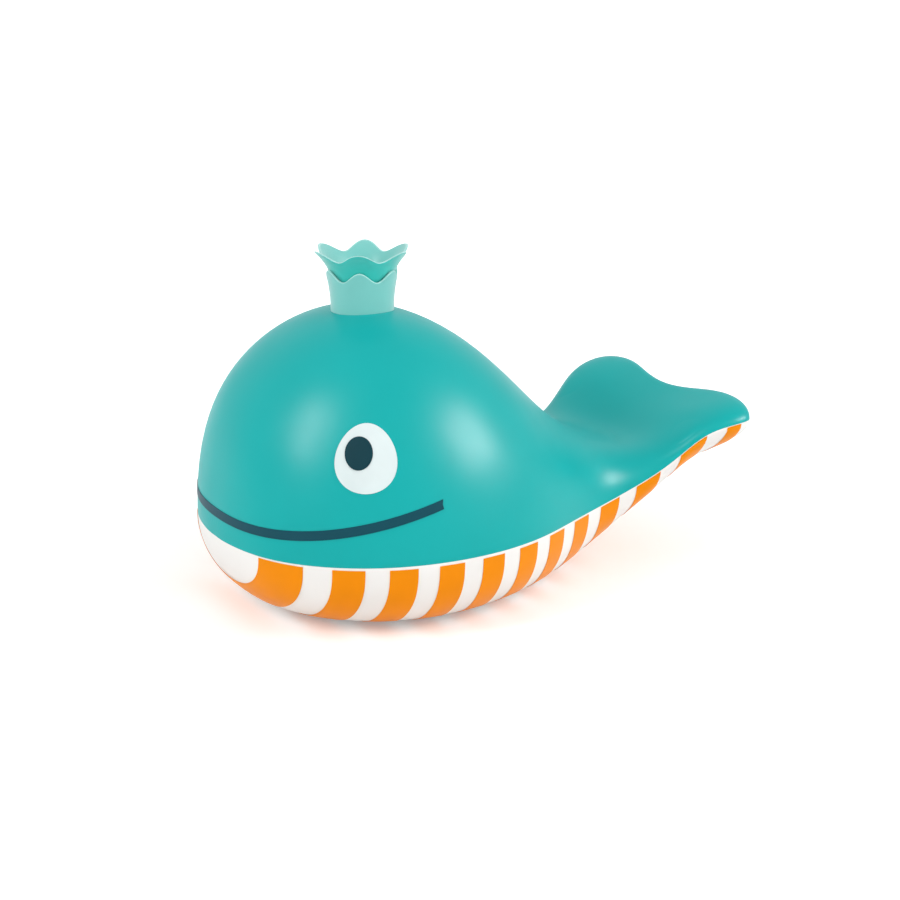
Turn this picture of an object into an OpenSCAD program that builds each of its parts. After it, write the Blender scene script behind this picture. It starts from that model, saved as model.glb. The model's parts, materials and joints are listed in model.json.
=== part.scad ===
// Squeeze toy for the bath: a whale in two vinyl halves, a two-tier crown
// that blows bubbles, and a squeaker in the belly.
// The nose is at -X, the tail at +X, and the belly rests on Z = 0.

/* [Body] */
// Length from the nose to the tips of the flukes
body_length = 165; // [130:1:200]
// Width across the head
body_width = 115; // [95:1:140]
// Height from the rest face to the top of the head
body_height = 86.5; // [75:0.5:105]
// Wall of the teal back
back_wall_thickness = 2; // [1.6:0.1:2.4]
// Wall of the white belly, thicker so that the toy floats upright
belly_wall_thickness = 3.3; // [3:0.1:3.8]
// Gap between the back's wall and the belly's tongue inside it
tongue_gap = 0.1; // [0.05:0.05:0.2]

/* [Stations] */
// Place of each ring along the body, from the nose
place_shares = [0, 0, 0.02, 0.09, 0.2, 0.335, 0.475, 0.6, 0.71, 0.82, 0.882, 0.957, 0.978];
// Half width of each ring, as a share of the body's width
half_width_shares = [0, 0.065, 0.23, 0.38, 0.48, 0.515, 0.47, 0.355, 0.27, 0.32, 0.355, 0.415, 0.205];
// Top of each ring, as a share of the body's height
top_shares = [0.265, 0.32, 0.645, 0.855, 0.99, 1.03, 0.905, 0.65, 0.475, 0.405, 0.505, 0.575, 0.59];
// Seam of each ring, as a share of the body's height
seam_shares = [0.265, 0.265, 0.255, 0.255, 0.255, 0.26, 0.265, 0.27, 0.275, 0.315, 0.385, 0.525, 0.59];
// Bottom of each ring; what falls below the rest face is pressed flat
bottom_shares = [0.265, 0.215, 0.095, -0.01, -0.07, -0.085, -0.07, -0.055, 0.03, 0.2, 0.305, 0.375, 0.59];
// How far each ring's sides trail behind its middle, as a share of the length
trail_shares = [0, 0, 0, 0, 0, 0, 0, 0, 0, 0.015, 0.045, 0.072, 0.041];
// How far each ring's sides rise above its middle, as a share of the height
lift_shares = [0, 0, 0, 0, 0, 0, 0, 0, 0, 0.085, 0.145, 0.03, -0.06];
// How far the flukes swell between their middle and their tips, as a share of the height
lobe_shares = [0, 0, 0, 0, 0, 0, 0, 0, 0, 0, 0.02, 0.035, 0.035];
// How far the very tips of the flukes are rounded back, as a share of the length
tip_shares = [0, 0, 0, 0, 0, 0, 0, 0, 0, 0, 0.04, 0.03, 0.025];
// How sharply that rounding sets in towards the tips
tip_power = 8; // [6:1:10]
// Roundness of the back's rings: 1 is an ellipse, less is squarer
back_roundness = 0.9; // [0.8:0.05:1]
// Roundness of the belly's rings
belly_roundness = 0.95; // [0.8:0.05:1]

/* [Prints] */
// Height of a print above the vinyl under it
print_lift = 0.09; // [0.07:0.01:0.12]
// Thickness of a printed film
print_film_thickness = 0.16; // [0.1:0.02:0.3]
// Count of orange stripes; those that would start past the cut-off are left out
stripe_count = 12; // [6:1:14]
// Place of the first stripe's front edge, from the nose
first_stripe_share = 0.023; // [0.02:0.001:0.05]
// Distance from stripe to stripe, as a share of the body's length
stripe_pitch_share = 0.0822; // [0.06:0.0001:0.09]
// Orange part of that distance
stripe_fill_share = 0.556; // [0.4:0.002:0.7]
// Place where the last stripe is cut off, short of the fluke tips
stripe_end_share = 0.955; // [0.94:0.001:0.958]
// White lip left between the seam and the stripes, in ring columns
stripe_lip_share = 0.1; // [0.05:0.05:0.2]
// Height at which the stripes stop, just above the flat rest face
stripe_stop_height = 0.5; // [0.45:0.05:0.8]
// Height of the mouth line at the middle of the face
mouth_height = 30.2; // [29:0.2:36]
// Rise of the mouth line from the middle to its ends
mouth_rise_height = 10.6; // [4:0.2:14]
// How late along its length the mouth line rises: 1 is a straight rise
mouth_bend = 1.35; // [1:0.05:2]
// Length of the mouth line, back from the nose
mouth_length = 46.4; // [36:0.2:60]
// Width of the mouth line
mouth_line_width = 2.7; // [1.5:0.1:3.5]
// Distance of the eye's middle behind the nose
eye_distance = 27.8; // [24:0.1:40]
// Height of the eye's middle above the rest face
eye_middle_height = 53.9; // [48:0.1:58]
// How far the eye faces forwards from straight sideways, in degrees
eye_turn_angle = 33; // [20:1:45]
// How far the eye faces upwards, in degrees
eye_tip_angle = 22; // [10:1:30]
// Width of the eye's white
eye_width = 17.2; // [12:0.2:20]
// Height of the eye's white
eye_height = 19.7; // [14:0.1:23]
// How much the top of the eye narrows
eye_taper_share = 0.13; // [0:0.01:0.3]
// Distance of the pupil's middle behind the nose
pupil_distance = 26.4; // [24:0.1:40]
// Height of the pupil's middle above the rest face
pupil_middle_height = 55.1; // [50:0.1:58]
// Width of the pupil
pupil_width = 7.8; // [5:0.2:10]
// Height of the pupil
pupil_height = 9.5; // [6:0.1:12]

/* [Crown] */
// Place of the crown's axis from the nose, on the top of the head
crown_place_share = 0.297; // [0.26:0.001:0.33]
// Radius of the collar where it meets the head
collar_base_radius = 9.4; // [9:0.1:10]
// Radius of the collar's petal tips
collar_tip_radius = 11.2; // [11:0.1:12]
// Height of the collar's petal tips above its seat
collar_tip_height = 12.8; // [12.2:0.2:14]
// Depth of the dips between the collar's petals
collar_dip_depth = 3; // [2:0.2:4]
// Radius of the upper cup where it leaves the collar's floor
ring_base_radius = 8.4; // [8:0.1:8.5]
// Radius of the upper cup's petal tips
ring_tip_radius = 15.2; // [14:0.1:17]
// Height of the upper cup's petal tips above the collar's seat
ring_tip_height = 18.7; // [18:0.2:20]
// Depth of the dips between the upper cup's petals
ring_dip_depth = 2.8; // [2:0.2:4]
// Wall of both cups
cup_wall_thickness = 0.8; // [0.6:0.1:1]
// Floor of both cups
cup_floor_thickness = 1.2; // [1:0.1:1.5]
// How late the collar's wall flares as it rises: 1 is a straight cone
collar_flare = 2.2; // [1.5:0.1:3]
// How late the upper cup's wall flares
ring_flare = 3.2; // [2:0.1:4]
// Count of petals on each cup
petal_count = 6; // [5:1:8]

/* [Spout] */
// Radius of the air bore
air_bore_radius = 1.6; // [1:0.1:1.8]
// Outer radius of the stem
stem_radius = 3; // [2.8:0.1:3.4]
// Radius of the flange that holds the cups down
stem_flange_radius = 5; // [4.5:0.1:6]
// Thickness of that flange
stem_flange_thickness = 1; // [0.8:0.1:1.4]
// Depth of the crown's seat in the head
seat_depth = 1.2; // [1:0.1:1.6]
// Radius of the thick pad under the seat
pad_radius = 10.5; // [10:0.1:12]
// Thickness of the pad under the seat
pad_thickness = 3; // [2.6:0.1:4]
// Outer radius of the retainer ring
retainer_radius = 6.5; // [5.5:0.1:8]
// Thickness of the retainer ring
retainer_thickness = 2; // [1.5:0.1:3]
// Height of the barb below the retainer
barb_height = 2.4; // [2:0.1:3]
// How far the barb stands out from the stem
barb_reach_length = 0.7; // [0.4:0.1:1]

/* [Squeaker] */
// Radius of the plug's outer flange
plug_flange_radius = 8; // [7.5:0.1:9]
// Thickness of the plug's flange and floor
plug_floor_thickness = 1; // [0.8:0.1:1.2]
// How deep the flange sits inside the rest face
plug_recess_depth = 0.4; // [0.3:0.1:0.6]
// Outer radius of the plug's body
plug_radius = 6.6; // [6.4:0.1:7]
// Wall of the plug's body
plug_wall_thickness = 0.9; // [0.8:0.1:1]
// Height of the plug above the rest face
plug_height = 10; // [9.5:0.5:11]
// Height of the belly's thick ring round the plug
boss_height = 6; // [5:0.5:7]
// Radius of that ring
boss_radius = 11; // [10.5:0.1:12]
// How far the plug's lip stands out over the ring
plug_lip_width = 0.7; // [0.5:0.1:0.9]
// Height of the plug's lip
plug_lip_height = 1.5; // [1.2:0.1:2]
// Thickness of the cap
cap_thickness = 1; // [0.8:0.1:1.2]
// Radius of the round reed bed
bed_radius = 2.5; // [2.4:0.1:2.7]
// Length of the reed bed
bed_length = 8.5; // [8:0.1:8.8]
// Width of the air groove in the bed
groove_width = 1.6; // [1.2:0.1:2]
// Depth of the air groove
groove_depth = 1.2; // [1:0.1:1.5]
// Width of the reed
reed_width = 3; // [2.6:0.1:3.4]
// Thickness of the reed
reed_thickness = 0.15; // [0.1:0.01:0.2]
// Free length of the reed below its clamp
reed_free_length = 5.5; // [5:0.1:6]
// Length of the reed's clamped end
reed_held_length = 1.9; // [1.5:0.1:2]
// Gap on each side of the reed's clamped end
reed_gap = 0.08; // [0.06:0.01:0.1]
// Room for the reed's beat on each side
reed_room_width = 0.6; // [0.5:0.05:0.7]
// Radius of the air holes
air_hole_radius = 0.6; // [0.4:0.1:0.8]
// Count of air holes in the plug's floor
air_hole_count = 5; // [3:1:6]
// Radius of the circle of air holes
air_hole_circle_radius = 3.6; // [3.2:0.1:4]

/* [Fits] */
// Gap between pieces that fit together
fit_gap = 0.05; // [0.03:0.01:0.1]
// Overrun of every cut past the solid it cuts
overrun = 0.5; // [0.3:0.1:1]

/* [Hidden] */
$fn = 48;

// Colours
teal = [0.12, 0.7, 0.7];
aqua = [0.48, 0.79, 0.78];
white = [0.95, 0.94, 0.92];
orange = [0.95, 0.56, 0.08];
slate = [0.14, 0.27, 0.31];
clear_film = [0.8, 0.85, 0.85];

// The control cage: one ring of points at each station, and one ring more at each end.
// The last ring is as round as the back's and the belly's between them.
last_ring = len(place_shares) - 1;
mean_roundness = (back_roundness + belly_roundness) / 2;
quarter = 6;
ring_points = 4 * quarter;

// The facets of the skin: rows along each ring, and columns over the back and the belly
row_steps = 4;
row_count = last_ring * row_steps;
back_columns = 6 * quarter;
belly_columns = 4 * quarter;
back_step = 2 * quarter / back_columns;
belly_step = 2 * quarter / belly_columns;

// The facets of the stripes: rows to each ring, and columns from the last whole one to the
// stop; the short step, in rings and columns, that the skin's slope is taken over; and the
// least part of its full width that the last stripe may be cut down to
stripe_steps = 8;
stop_steps = 4;
slope_step = 0.01;
least_stripe_share = 0.25;

// The facets of the smaller curves
mouth_steps = 24;
egg_steps = 36;
flare_steps = 8;
petal_steps = 12;
hole_facets = 24;

nose_x = -body_length / 2;
crown_x = nose_x + body_length * crown_place_share;

// A section shrinks by the wall where it is wide, and by less where it is slim
function shrink(size, wall) = size == 0 ? 0 : size * size / (size + wall);
function rounded(value, power) = sign(value) * pow(abs(value), power);

// One point of the cage, drawn in by the wall; column 0 is the top, column 6 the seam
function cage_point(ring, column, wall) =
    let (
        angle = 360 * column / ring_points,
        upper = cos(angle) > 0,
        closing = ring == last_ring,
        ring_roundness = closing ? mean_roundness : upper ? back_roundness : belly_roundness,
        power = ring < 2 ? 1 : ring_roundness,
        across = abs(sin(angle)) == 1 ? sign(sin(angle)) : rounded(sin(angle), power),
        upright = abs(sin(angle)) == 1 ? 0 : rounded(cos(angle), power),
        half_width = shrink(half_width_shares[ring] * body_width, wall),
        seam_z = seam_shares[ring] * body_height,
        top = shrink(top_shares[ring] * body_height - seam_z, wall),
        bottom = shrink(seam_z - bottom_shares[ring] * body_height, wall),
        swept = trail_shares[ring] * across * across - tip_shares[ring] * pow(across, tip_power),
        x = (body_length - 2 * wall) * (place_shares[ring] - 0.5) + body_length * swept,
        lobe = upper || closing ? lobe_shares[ring] * pow(2 * across * upright, 2) : 0,
        z = seam_z + (upper ? top : bottom) * upright
            + body_height * (lift_shares[ring] * across * across + lobe)
    )
    [x, half_width * across, max(z, max(wall, 0))];

// Beyond the nose a ring is turned about the nose. Beyond the tail the upper and the lower
// side run on into each other, which rounds the flukes' trailing edge.
function before_nose(column, wall) =
    let (
        near = cage_point(1, column, wall),
        nose = cage_point(0, column, wall)
    )
    [near[0], -near[1], 2 * nose[2] - near[2]];
function behind_tail(column, wall) = cage_point(last_ring - 1, 2 * quarter - column, wall);

function cage(wall) = [
    for (ring = [-1 : last_ring + 1]) [
        for (column = [0 : ring_points - 1])
            ring < 0 ? before_nose(column, wall)
                : ring > last_ring ? behind_tail(column, wall)
                : cage_point(ring, column, wall)
    ]
];

// Cubic spline weights of four points in a row
function weights(t) = [
    pow(1 - t, 3) / 6,
    (3 * pow(t, 3) - 6 * pow(t, 2) + 4) / 6,
    (1 + 3 * t + 3 * pow(t, 2) - 3 * pow(t, 3)) / 6,
    pow(t, 3) / 6
];

// The point of the skin at a place along the rings and a place round them
function skin_point(net, along, round_it) =
    let (
        ring = min(floor(along), last_ring - 1),
        column = floor(round_it),
        a = weights(along - ring),
        b = weights(round_it - column),
        columns = [for (j = [0 : 3]) (column + j - 1 + 2 * ring_points) % ring_points],
        rows = [for (i = [0 : 3]) b * [for (j = [0 : 3]) net[ring + i][columns[j]]]]
    )
    a * rows;

outer_net = cage(0);

// A point of the outer skin, and how far along the rings any x is at one ring column
function outer_point(along, round_it) = skin_point(outer_net, along, round_it);
function along_at(x, round_it) =
    lookup(x, [
        for (row = [0 : row_count])
            let (along = row / row_steps)
            [outer_point(along, round_it)[0], along]
    ]);

// The half width of the skin at a place on the side of the head
function half_width_at(x, z) =
    lookup(z, [
        for (column = [quarter : -belly_step : belly_step])
            let (p = outer_point(along_at(x, column), column))
            [p[2], p[1]]
    ]);

// The crown's heights, from its seat in the head upwards, and then the stem's below it
seat_z = outer_point(along_at(crown_x, 0), 0)[2] - seat_depth;
collar_z = seat_z + fit_gap;
ring_z = collar_z + cup_floor_thickness + fit_gap;
flange_z = ring_z + cup_floor_thickness + fit_gap;
retainer_top = seat_z - pad_thickness - fit_gap;
barb_top = retainer_top - retainer_thickness - fit_gap;

// The squeaker stands on the ring at the middle of the flat that the belly rests on
squeaker_ring = 5;
flat_x = outer_point(squeaker_ring, 2 * quarter)[0];
plug_flange_top = plug_recess_depth + plug_floor_thickness;
plug_inner_radius = plug_radius - plug_wall_thickness;
cap_low = plug_height + fit_gap;
bed_top = cap_low + cap_thickness;
bed_low = bed_top - bed_length;
clamp_low = bed_top - reed_held_length;

// The film of ink that a print leaves on the vinyl ends at this height
film_top = print_lift + print_film_thickness;

// Triangles whose corners fall together, as at the nose, are left out
same_place = print_lift / 100;
function merged(points, a, b) = norm(points[a] - points[b]) < same_place;
function solid_triangles(points, triangles) = [
    for (t = triangles)
        if (!merged(points, t[0], t[1]) && !merged(points, t[1], t[2]) && !merged(points, t[2], t[0])) t
];

// A closed slab: each row of points runs along its outer face and back along its inner one
module slab(rows) {
    around = len(rows[0]);
    last = len(rows) - 1;
    points = [for (row = rows) each row];
    walls = [
        for (row = [0 : last - 1], c = [0 : around - 1])
            let (
                here = row * around + c,
                beside = row * around + (c + 1) % around
            )
            each [[here, beside, beside + around], [here, beside + around, here + around]]
    ];
    ends = [
        for (c = [0 : around / 2 - 2])
            let (
                over = around - 1 - c,
                end = last * around
            )
            each [
                [c, over - 1, c + 1], [c, over, over - 1],
                [end + c, end + c + 1, end + over - 1], [end + c, end + over - 1, end + over]
            ]
    ];
    polyhedron(points, solid_triangles(points, concat(walls, ends)), convexity = 8);
}

// One row of a slab, between two skins at places along the body and round it
function slab_row(outer, inner, places) = concat(
    [for (p = places) skin_point(outer, p[0], p[1])],
    [for (i = [len(places) - 1 : -1 : 0]) skin_point(inner, places[i][0], places[i][1])]
);

// A slice of wall from one ring column to another: the back, the belly and its tongue
module skin_slice(outer_wall, inner_wall, from_column, to_column, column_count, last = row_count) {
    outer = cage(outer_wall);
    inner = cage(inner_wall);
    step = (to_column - from_column) / column_count;
    slab([
        for (row = [0 : last])
            slab_row(outer, inner, [for (c = [0 : column_count]) [row / row_steps, from_column + step * c]])
    ]);
}

// The film of ink that a print on the head is cut from
module head_film(level) {
    low = print_lift + level * film_top;
    skin_slice(-low - print_film_thickness, -low, -quarter, quarter, back_columns);
}

// An egg cut through the side of the head where the eye faces; far is the right side
module eye_cutter(distance, middle_z, width, height, taper, far) {
    x = nose_x + distance;
    outline = [
        for (i = [0 : egg_steps - 1])
            let (turn = 360 * i / egg_steps)
            [width / 2 * sin(turn) * (1 - taper * cos(turn)), height / 2 * cos(turn)]
    ];
    mirror([0, far ? 1 : 0, 0])
        translate([x, -half_width_at(x, middle_z), middle_z])
            rotate([90 - eye_tip_angle, 0, -eye_turn_angle])
                linear_extrude(height = eye_width, center = true)
                    polygon(outline);
}

// A cup whose wall flares outwards as it rises from a flat floor round the stem
module cup_body(base_radius, tip_radius, base_z, tip_z, flare) {
    outer = [
        for (i = [0 : flare_steps])
            let (rise = i / flare_steps)
            [base_radius + (tip_radius - base_radius) * pow(rise, flare), rise * (tip_z - base_z)]
    ];
    inner = [
        for (i = [flare_steps : -1 : 1])
            if (outer[i][1] > cup_floor_thickness) [outer[i][0] - cup_wall_thickness, outer[i][1]]
    ];
    translate([crown_x, 0, base_z])
        rotate_extrude()
            polygon(concat(
                [[stem_radius + fit_gap, 0]],
                outer,
                inner,
                [
                    [base_radius - cup_wall_thickness, cup_floor_thickness],
                    [stem_radius + fit_gap, cup_floor_thickness]
                ]
            ));
}

// Everything above a rim that rises to a tip at each petal, one of them forwards. It opens
// like a cone from the axis, so that the dips and the tips come out at their own radii.
module rim_cutter(dip_radius, tip_radius, tip_z, dip) {
    slope = dip / (dip_radius + tip_radius);
    middle = tip_z - slope * tip_radius;
    reach = 2 * tip_radius;
    steps = petal_steps * petal_count;
    rim = [
        for (i = [0 : steps - 1])
            let (turn = 360 * i / steps)
            [-reach * cos(turn), -reach * sin(turn), middle + slope * reach * cos(petal_count * turn)]
    ];
    lid = [for (p = rim) [p[0], p[1], tip_z + reach]];
    points = concat(rim, lid, [[0, 0, middle], [0, 0, tip_z + reach]]);
    sides = [
        for (i = [0 : steps - 1])
            let (j = (i + 1) % steps)
            each [
                [i, steps + i, steps + j], [i, steps + j, j],
                [2 * steps, i, j], [2 * steps + 1, steps + j, steps + i]
            ]
    ];
    translate([crown_x, 0, 0])
        polyhedron(points, sides, convexity = 6);
}

module back_shell() {
    color(teal)
        difference() {
            union() {
                skin_slice(0, back_wall_thickness, -quarter, quarter, back_columns);
                translate([crown_x, 0, seat_z - pad_thickness])
                    cylinder(r = pad_radius, h = pad_thickness - fit_gap);
            }
            translate([crown_x, 0, seat_z])
                cylinder(r = collar_base_radius + fit_gap, h = seat_depth + overrun);
            translate([crown_x, 0, seat_z - pad_thickness - overrun])
                cylinder(r = stem_radius + fit_gap, h = pad_thickness + 2 * overrun);
        }
}

// The tongue stands up inside the back's rim, one facet high, along each side.
// Its foot is inside the belly's wall, and it ends one ring short of the tail.
module belly_tongue(from_column) {
    skin_slice(back_wall_thickness + tongue_gap, belly_wall_thickness - tongue_gap / 2, from_column,
               from_column + back_step + belly_step / 2, 1, row_count - row_steps);
}

module belly_shell() {
    color(white)
        difference() {
            union() {
                resize([0, 0, 0])
                    union() {
                        skin_slice(0, belly_wall_thickness, quarter, 3 * quarter, belly_columns);
                        belly_tongue(quarter - back_step);
                        belly_tongue(3 * quarter - belly_step / 2);
                    }
                translate([flat_x, 0, belly_wall_thickness / 2])
                    cylinder(r = boss_radius, h = boss_height - belly_wall_thickness / 2);
            }
            translate([flat_x, 0, -overrun])
                cylinder(r = plug_flange_radius + fit_gap, h = plug_flange_top + fit_gap + overrun);
            translate([flat_x, 0, 0])
                cylinder(r = plug_radius + fit_gap, h = boss_height + overrun);
        }
}

// A point straight out from the outer skin
function raised_point(along, round_it, lift) =
    let (
        forwards = outer_point(along + slope_step, round_it) - outer_point(along - slope_step, round_it),
        sideways = outer_point(along, round_it + slope_step) - outer_point(along, round_it - slope_step),
        outwards = cross(forwards, sideways)
    )
    outer_point(along, round_it) + lift * outwards / norm(outwards);

// How far along the rings a share of a stripe's width is, at one ring column
function stripe_along(front_x, back_x, share, column) =
    along_at(front_x, column) * (1 - share) + along_at(back_x, column) * share;

// The ring column at which a stripe's row comes down to the height where the stripes stop
function stop_column(front_x, back_x, share) =
    min(2 * quarter - stripe_lip_share, lookup(-stripe_stop_height, [
        for (column = [quarter : belly_step : 2 * quarter])
            [-outer_point(stripe_along(front_x, back_x, share, column), column)[2], column]
    ]));

// One stripe as a film between two places along the body. It runs right round the belly,
// or as two halves that stop beside the flat. Its columns are the belly's own up to the
// last whole one, so that the film's facets lie over the belly's.
module stripe(front_x, back_x) {
    bottom = 2 * quarter;
    first = quarter + stripe_lip_share;
    steps = ceil((along_at(back_x, bottom) - along_at(front_x, bottom)) * stripe_steps);
    shares = [for (i = [0 : steps]) i / steps];
    heights = [for (share = shares) outer_point(stripe_along(front_x, back_x, share, bottom), bottom)[2]];
    split = min(heights) < stripe_stop_height;
    stops = [for (share = shares) split ? stop_column(front_x, back_x, share) : 4 * quarter - first];
    whole = [for (column = [quarter + belly_step : belly_step : min(stops) - belly_step / 2]) column];
    whole_end = whole[len(whole) - 1];
    for (far = split ? [0, 1] : [0])
        mirror([0, far, 0])
            slab([
                for (i = [0 : steps])
                    let (
                        ends = [
                            for (k = [1 : stop_steps])
                                whole_end + (stops[i] - whole_end) * k / stop_steps
                        ],
                        columns = concat([first], whole, ends),
                        along = [for (c = columns) stripe_along(front_x, back_x, shares[i], c)],
                        last = len(columns) - 1
                    )
                    concat(
                        [for (k = [0 : last]) raised_point(along[k], columns[k], film_top)],
                        [for (k = [last : -1 : 0]) raised_point(along[k], columns[k], print_lift)]
                    )
            ]);
}

// A stripe that the cut-off would leave narrower than the least share of its width is left out
module belly_stripes() {
    last_x = nose_x + body_length * stripe_end_share;
    full_width = body_length * stripe_pitch_share * stripe_fill_share;
    color(orange)
        for (i = [0 : stripe_count - 1])
            let (front_x = nose_x + body_length * (first_stripe_share + i * stripe_pitch_share))
            if (last_x - front_x > least_stripe_share * full_width)
                stripe(front_x, min(front_x + full_width, last_x));
}

module mouth_line() {
    centre = [
        for (i = [0 : mouth_steps])
            let (share = i / mouth_steps)
            [nose_x + mouth_length * share, mouth_height + mouth_rise_height * pow(share, mouth_bend)]
    ];
    line = concat([[nose_x - overrun, mouth_height]], centre);
    low = [for (p = line) [p[0], p[1] - mouth_line_width / 2]];
    high = [for (i = [len(line) - 1 : -1 : 0]) [line[i][0], line[i][1] + mouth_line_width / 2]];
    color(slate)
        resize([0, 0, 0])
            intersection() {
                head_film(0);
                rotate([90, 0, 0])
                    linear_extrude(height = 2 * body_width, center = true)
                        polygon(concat(low, high));
            }
}

module eye_white(far) {
    color(white)
        resize([0, 0, 0])
            intersection() {
                head_film(0);
                eye_cutter(eye_distance, eye_middle_height, eye_width, eye_height, eye_taper_share, far);
            }
}

module pupil(far) {
    color(slate)
        resize([0, 0, 0])
            intersection() {
                head_film(1);
                eye_cutter(pupil_distance, pupil_middle_height, pupil_width, pupil_height, 0, far);
            }
}

module eye_white_left() {
    eye_white(false);
}

module eye_white_right() {
    eye_white(true);
}

module pupil_left() {
    pupil(false);
}

module pupil_right() {
    pupil(true);
}

module crown_collar() {
    color(aqua)
        difference() {
            cup_body(collar_base_radius, collar_tip_radius, collar_z, seat_z + collar_tip_height,
                     collar_flare);
            rim_cutter(collar_tip_radius - cup_wall_thickness, collar_tip_radius, seat_z + collar_tip_height,
                       collar_dip_depth);
        }
}

module crown_ring() {
    color(aqua)
        difference() {
            cup_body(ring_base_radius, ring_tip_radius, ring_z, seat_z + ring_tip_height, ring_flare);
            rim_cutter(ring_tip_radius - ring_dip_depth, ring_tip_radius, seat_z + ring_tip_height,
                       ring_dip_depth);
        }
}

module spout_stem() {
    color(white)
        translate([crown_x, 0, 0])
            rotate_extrude()
                polygon([
                    [air_bore_radius, flange_z + stem_flange_thickness],
                    [air_bore_radius, barb_top - barb_height],
                    [stem_radius - barb_reach_length / 2, barb_top - barb_height],
                    [stem_radius + barb_reach_length, barb_top],
                    [stem_radius, barb_top],
                    [stem_radius, flange_z],
                    [stem_flange_radius, flange_z],
                    [stem_flange_radius, flange_z + stem_flange_thickness]
                ]);
}

module spout_retainer() {
    color(white)
        translate([crown_x, 0, retainer_top - retainer_thickness])
            difference() {
                cylinder(r = retainer_radius, h = retainer_thickness);
                translate([0, 0, -overrun])
                    cylinder(r = stem_radius + fit_gap, h = retainer_thickness + 2 * overrun);
            }
}

module squeaker_cup() {
    color(white)
        translate([flat_x, 0, 0])
            difference() {
                rotate_extrude()
                    polygon([
                        [0, plug_recess_depth],
                        [plug_flange_radius, plug_recess_depth],
                        [plug_flange_radius, plug_flange_top],
                        [plug_radius, plug_flange_top],
                        [plug_radius, boss_height + fit_gap],
                        [plug_radius + plug_lip_width, boss_height + fit_gap],
                        [plug_radius, boss_height + plug_lip_height],
                        [plug_radius, plug_height],
                        [plug_inner_radius, plug_height],
                        [plug_inner_radius, plug_flange_top],
                        [0, plug_flange_top]
                    ]);
                for (i = [0 : air_hole_count - 1])
                    rotate([0, 0, 360 * i / air_hole_count])
                        translate([air_hole_circle_radius, 0, 0])
                            cylinder(r = air_hole_radius, h = plug_flange_top + overrun, $fn = hole_facets);
            }
}

module squeaker_cap() {
    color(white)
        translate([flat_x, 0, 0])
            rotate_extrude()
                polygon([
                    [bed_radius + fit_gap, cap_low - cap_thickness],
                    [plug_inner_radius - fit_gap, cap_low - cap_thickness],
                    [plug_inner_radius - fit_gap, cap_low],
                    [plug_radius, cap_low],
                    [plug_radius, cap_low + cap_thickness],
                    [bed_radius + fit_gap, cap_low + cap_thickness]
                ]);
}

module reed_bed() {
    color(white)
        translate([flat_x, 0, bed_low])
            difference() {
                cylinder(r = bed_radius, h = bed_length);
                // the reed's side is open; the bed steps back below the clamp
                translate([-bed_radius - overrun, -bed_radius - overrun, -overrun])
                    cube([bed_radius + overrun, 2 * bed_radius + 2 * overrun, bed_length + 2 * overrun]);
                translate([-overrun, -bed_radius - overrun, -overrun])
                    cube([reed_room_width + overrun, 2 * bed_radius + 2 * overrun,
                          bed_length - reed_held_length + overrun]);
                translate([-overrun, -groove_width / 2, plug_wall_thickness])
                    cube([groove_depth + overrun, groove_width, bed_length]);
            }
}

module reed() {
    color(clear_film)
        translate([flat_x - reed_gap - reed_thickness, -reed_width / 2, clamp_low - reed_free_length])
            cube([reed_thickness, reed_width, reed_free_length + reed_held_length]);
}

module reed_clamp() {
    reed_face = 2 * reed_gap + reed_thickness;
    color(white)
        translate([flat_x, 0, clamp_low])
            difference() {
                cylinder(r = bed_radius, h = reed_held_length);
                translate([-reed_face, -bed_radius - overrun, -overrun])
                    cube([bed_radius + reed_face + overrun, 2 * bed_radius + 2 * overrun,
                          reed_held_length + 2 * overrun]);
            }
}

back_shell();
belly_shell();
belly_stripes();
mouth_line();
eye_white_left();
eye_white_right();
pupil_left();
pupil_right();
crown_collar();
crown_ring();
spout_stem();
spout_retainer();
squeaker_cup();
squeaker_cap();
reed_bed();
reed();
reed_clamp();
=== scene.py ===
import json
import math

import bpy
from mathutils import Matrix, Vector

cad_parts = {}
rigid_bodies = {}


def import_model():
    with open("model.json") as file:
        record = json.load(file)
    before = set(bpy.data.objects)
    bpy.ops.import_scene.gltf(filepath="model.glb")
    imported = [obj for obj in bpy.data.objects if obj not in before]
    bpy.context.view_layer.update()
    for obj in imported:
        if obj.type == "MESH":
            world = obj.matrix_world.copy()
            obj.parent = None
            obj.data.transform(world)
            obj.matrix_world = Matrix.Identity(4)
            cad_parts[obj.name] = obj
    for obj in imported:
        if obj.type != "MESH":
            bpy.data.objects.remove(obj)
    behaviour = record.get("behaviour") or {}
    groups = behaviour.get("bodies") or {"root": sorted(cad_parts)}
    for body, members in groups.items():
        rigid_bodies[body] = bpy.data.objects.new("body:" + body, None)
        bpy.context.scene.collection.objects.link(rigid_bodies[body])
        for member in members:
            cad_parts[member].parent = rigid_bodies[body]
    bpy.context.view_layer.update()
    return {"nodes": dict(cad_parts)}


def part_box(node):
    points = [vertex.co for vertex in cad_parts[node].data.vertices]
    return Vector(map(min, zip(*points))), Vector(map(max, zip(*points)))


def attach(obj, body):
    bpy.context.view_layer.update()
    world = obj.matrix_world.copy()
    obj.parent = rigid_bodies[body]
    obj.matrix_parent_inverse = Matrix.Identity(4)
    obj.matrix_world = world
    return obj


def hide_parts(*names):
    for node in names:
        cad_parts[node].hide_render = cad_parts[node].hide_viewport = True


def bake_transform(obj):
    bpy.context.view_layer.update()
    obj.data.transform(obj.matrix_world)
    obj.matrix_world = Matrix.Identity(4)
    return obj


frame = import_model()

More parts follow.
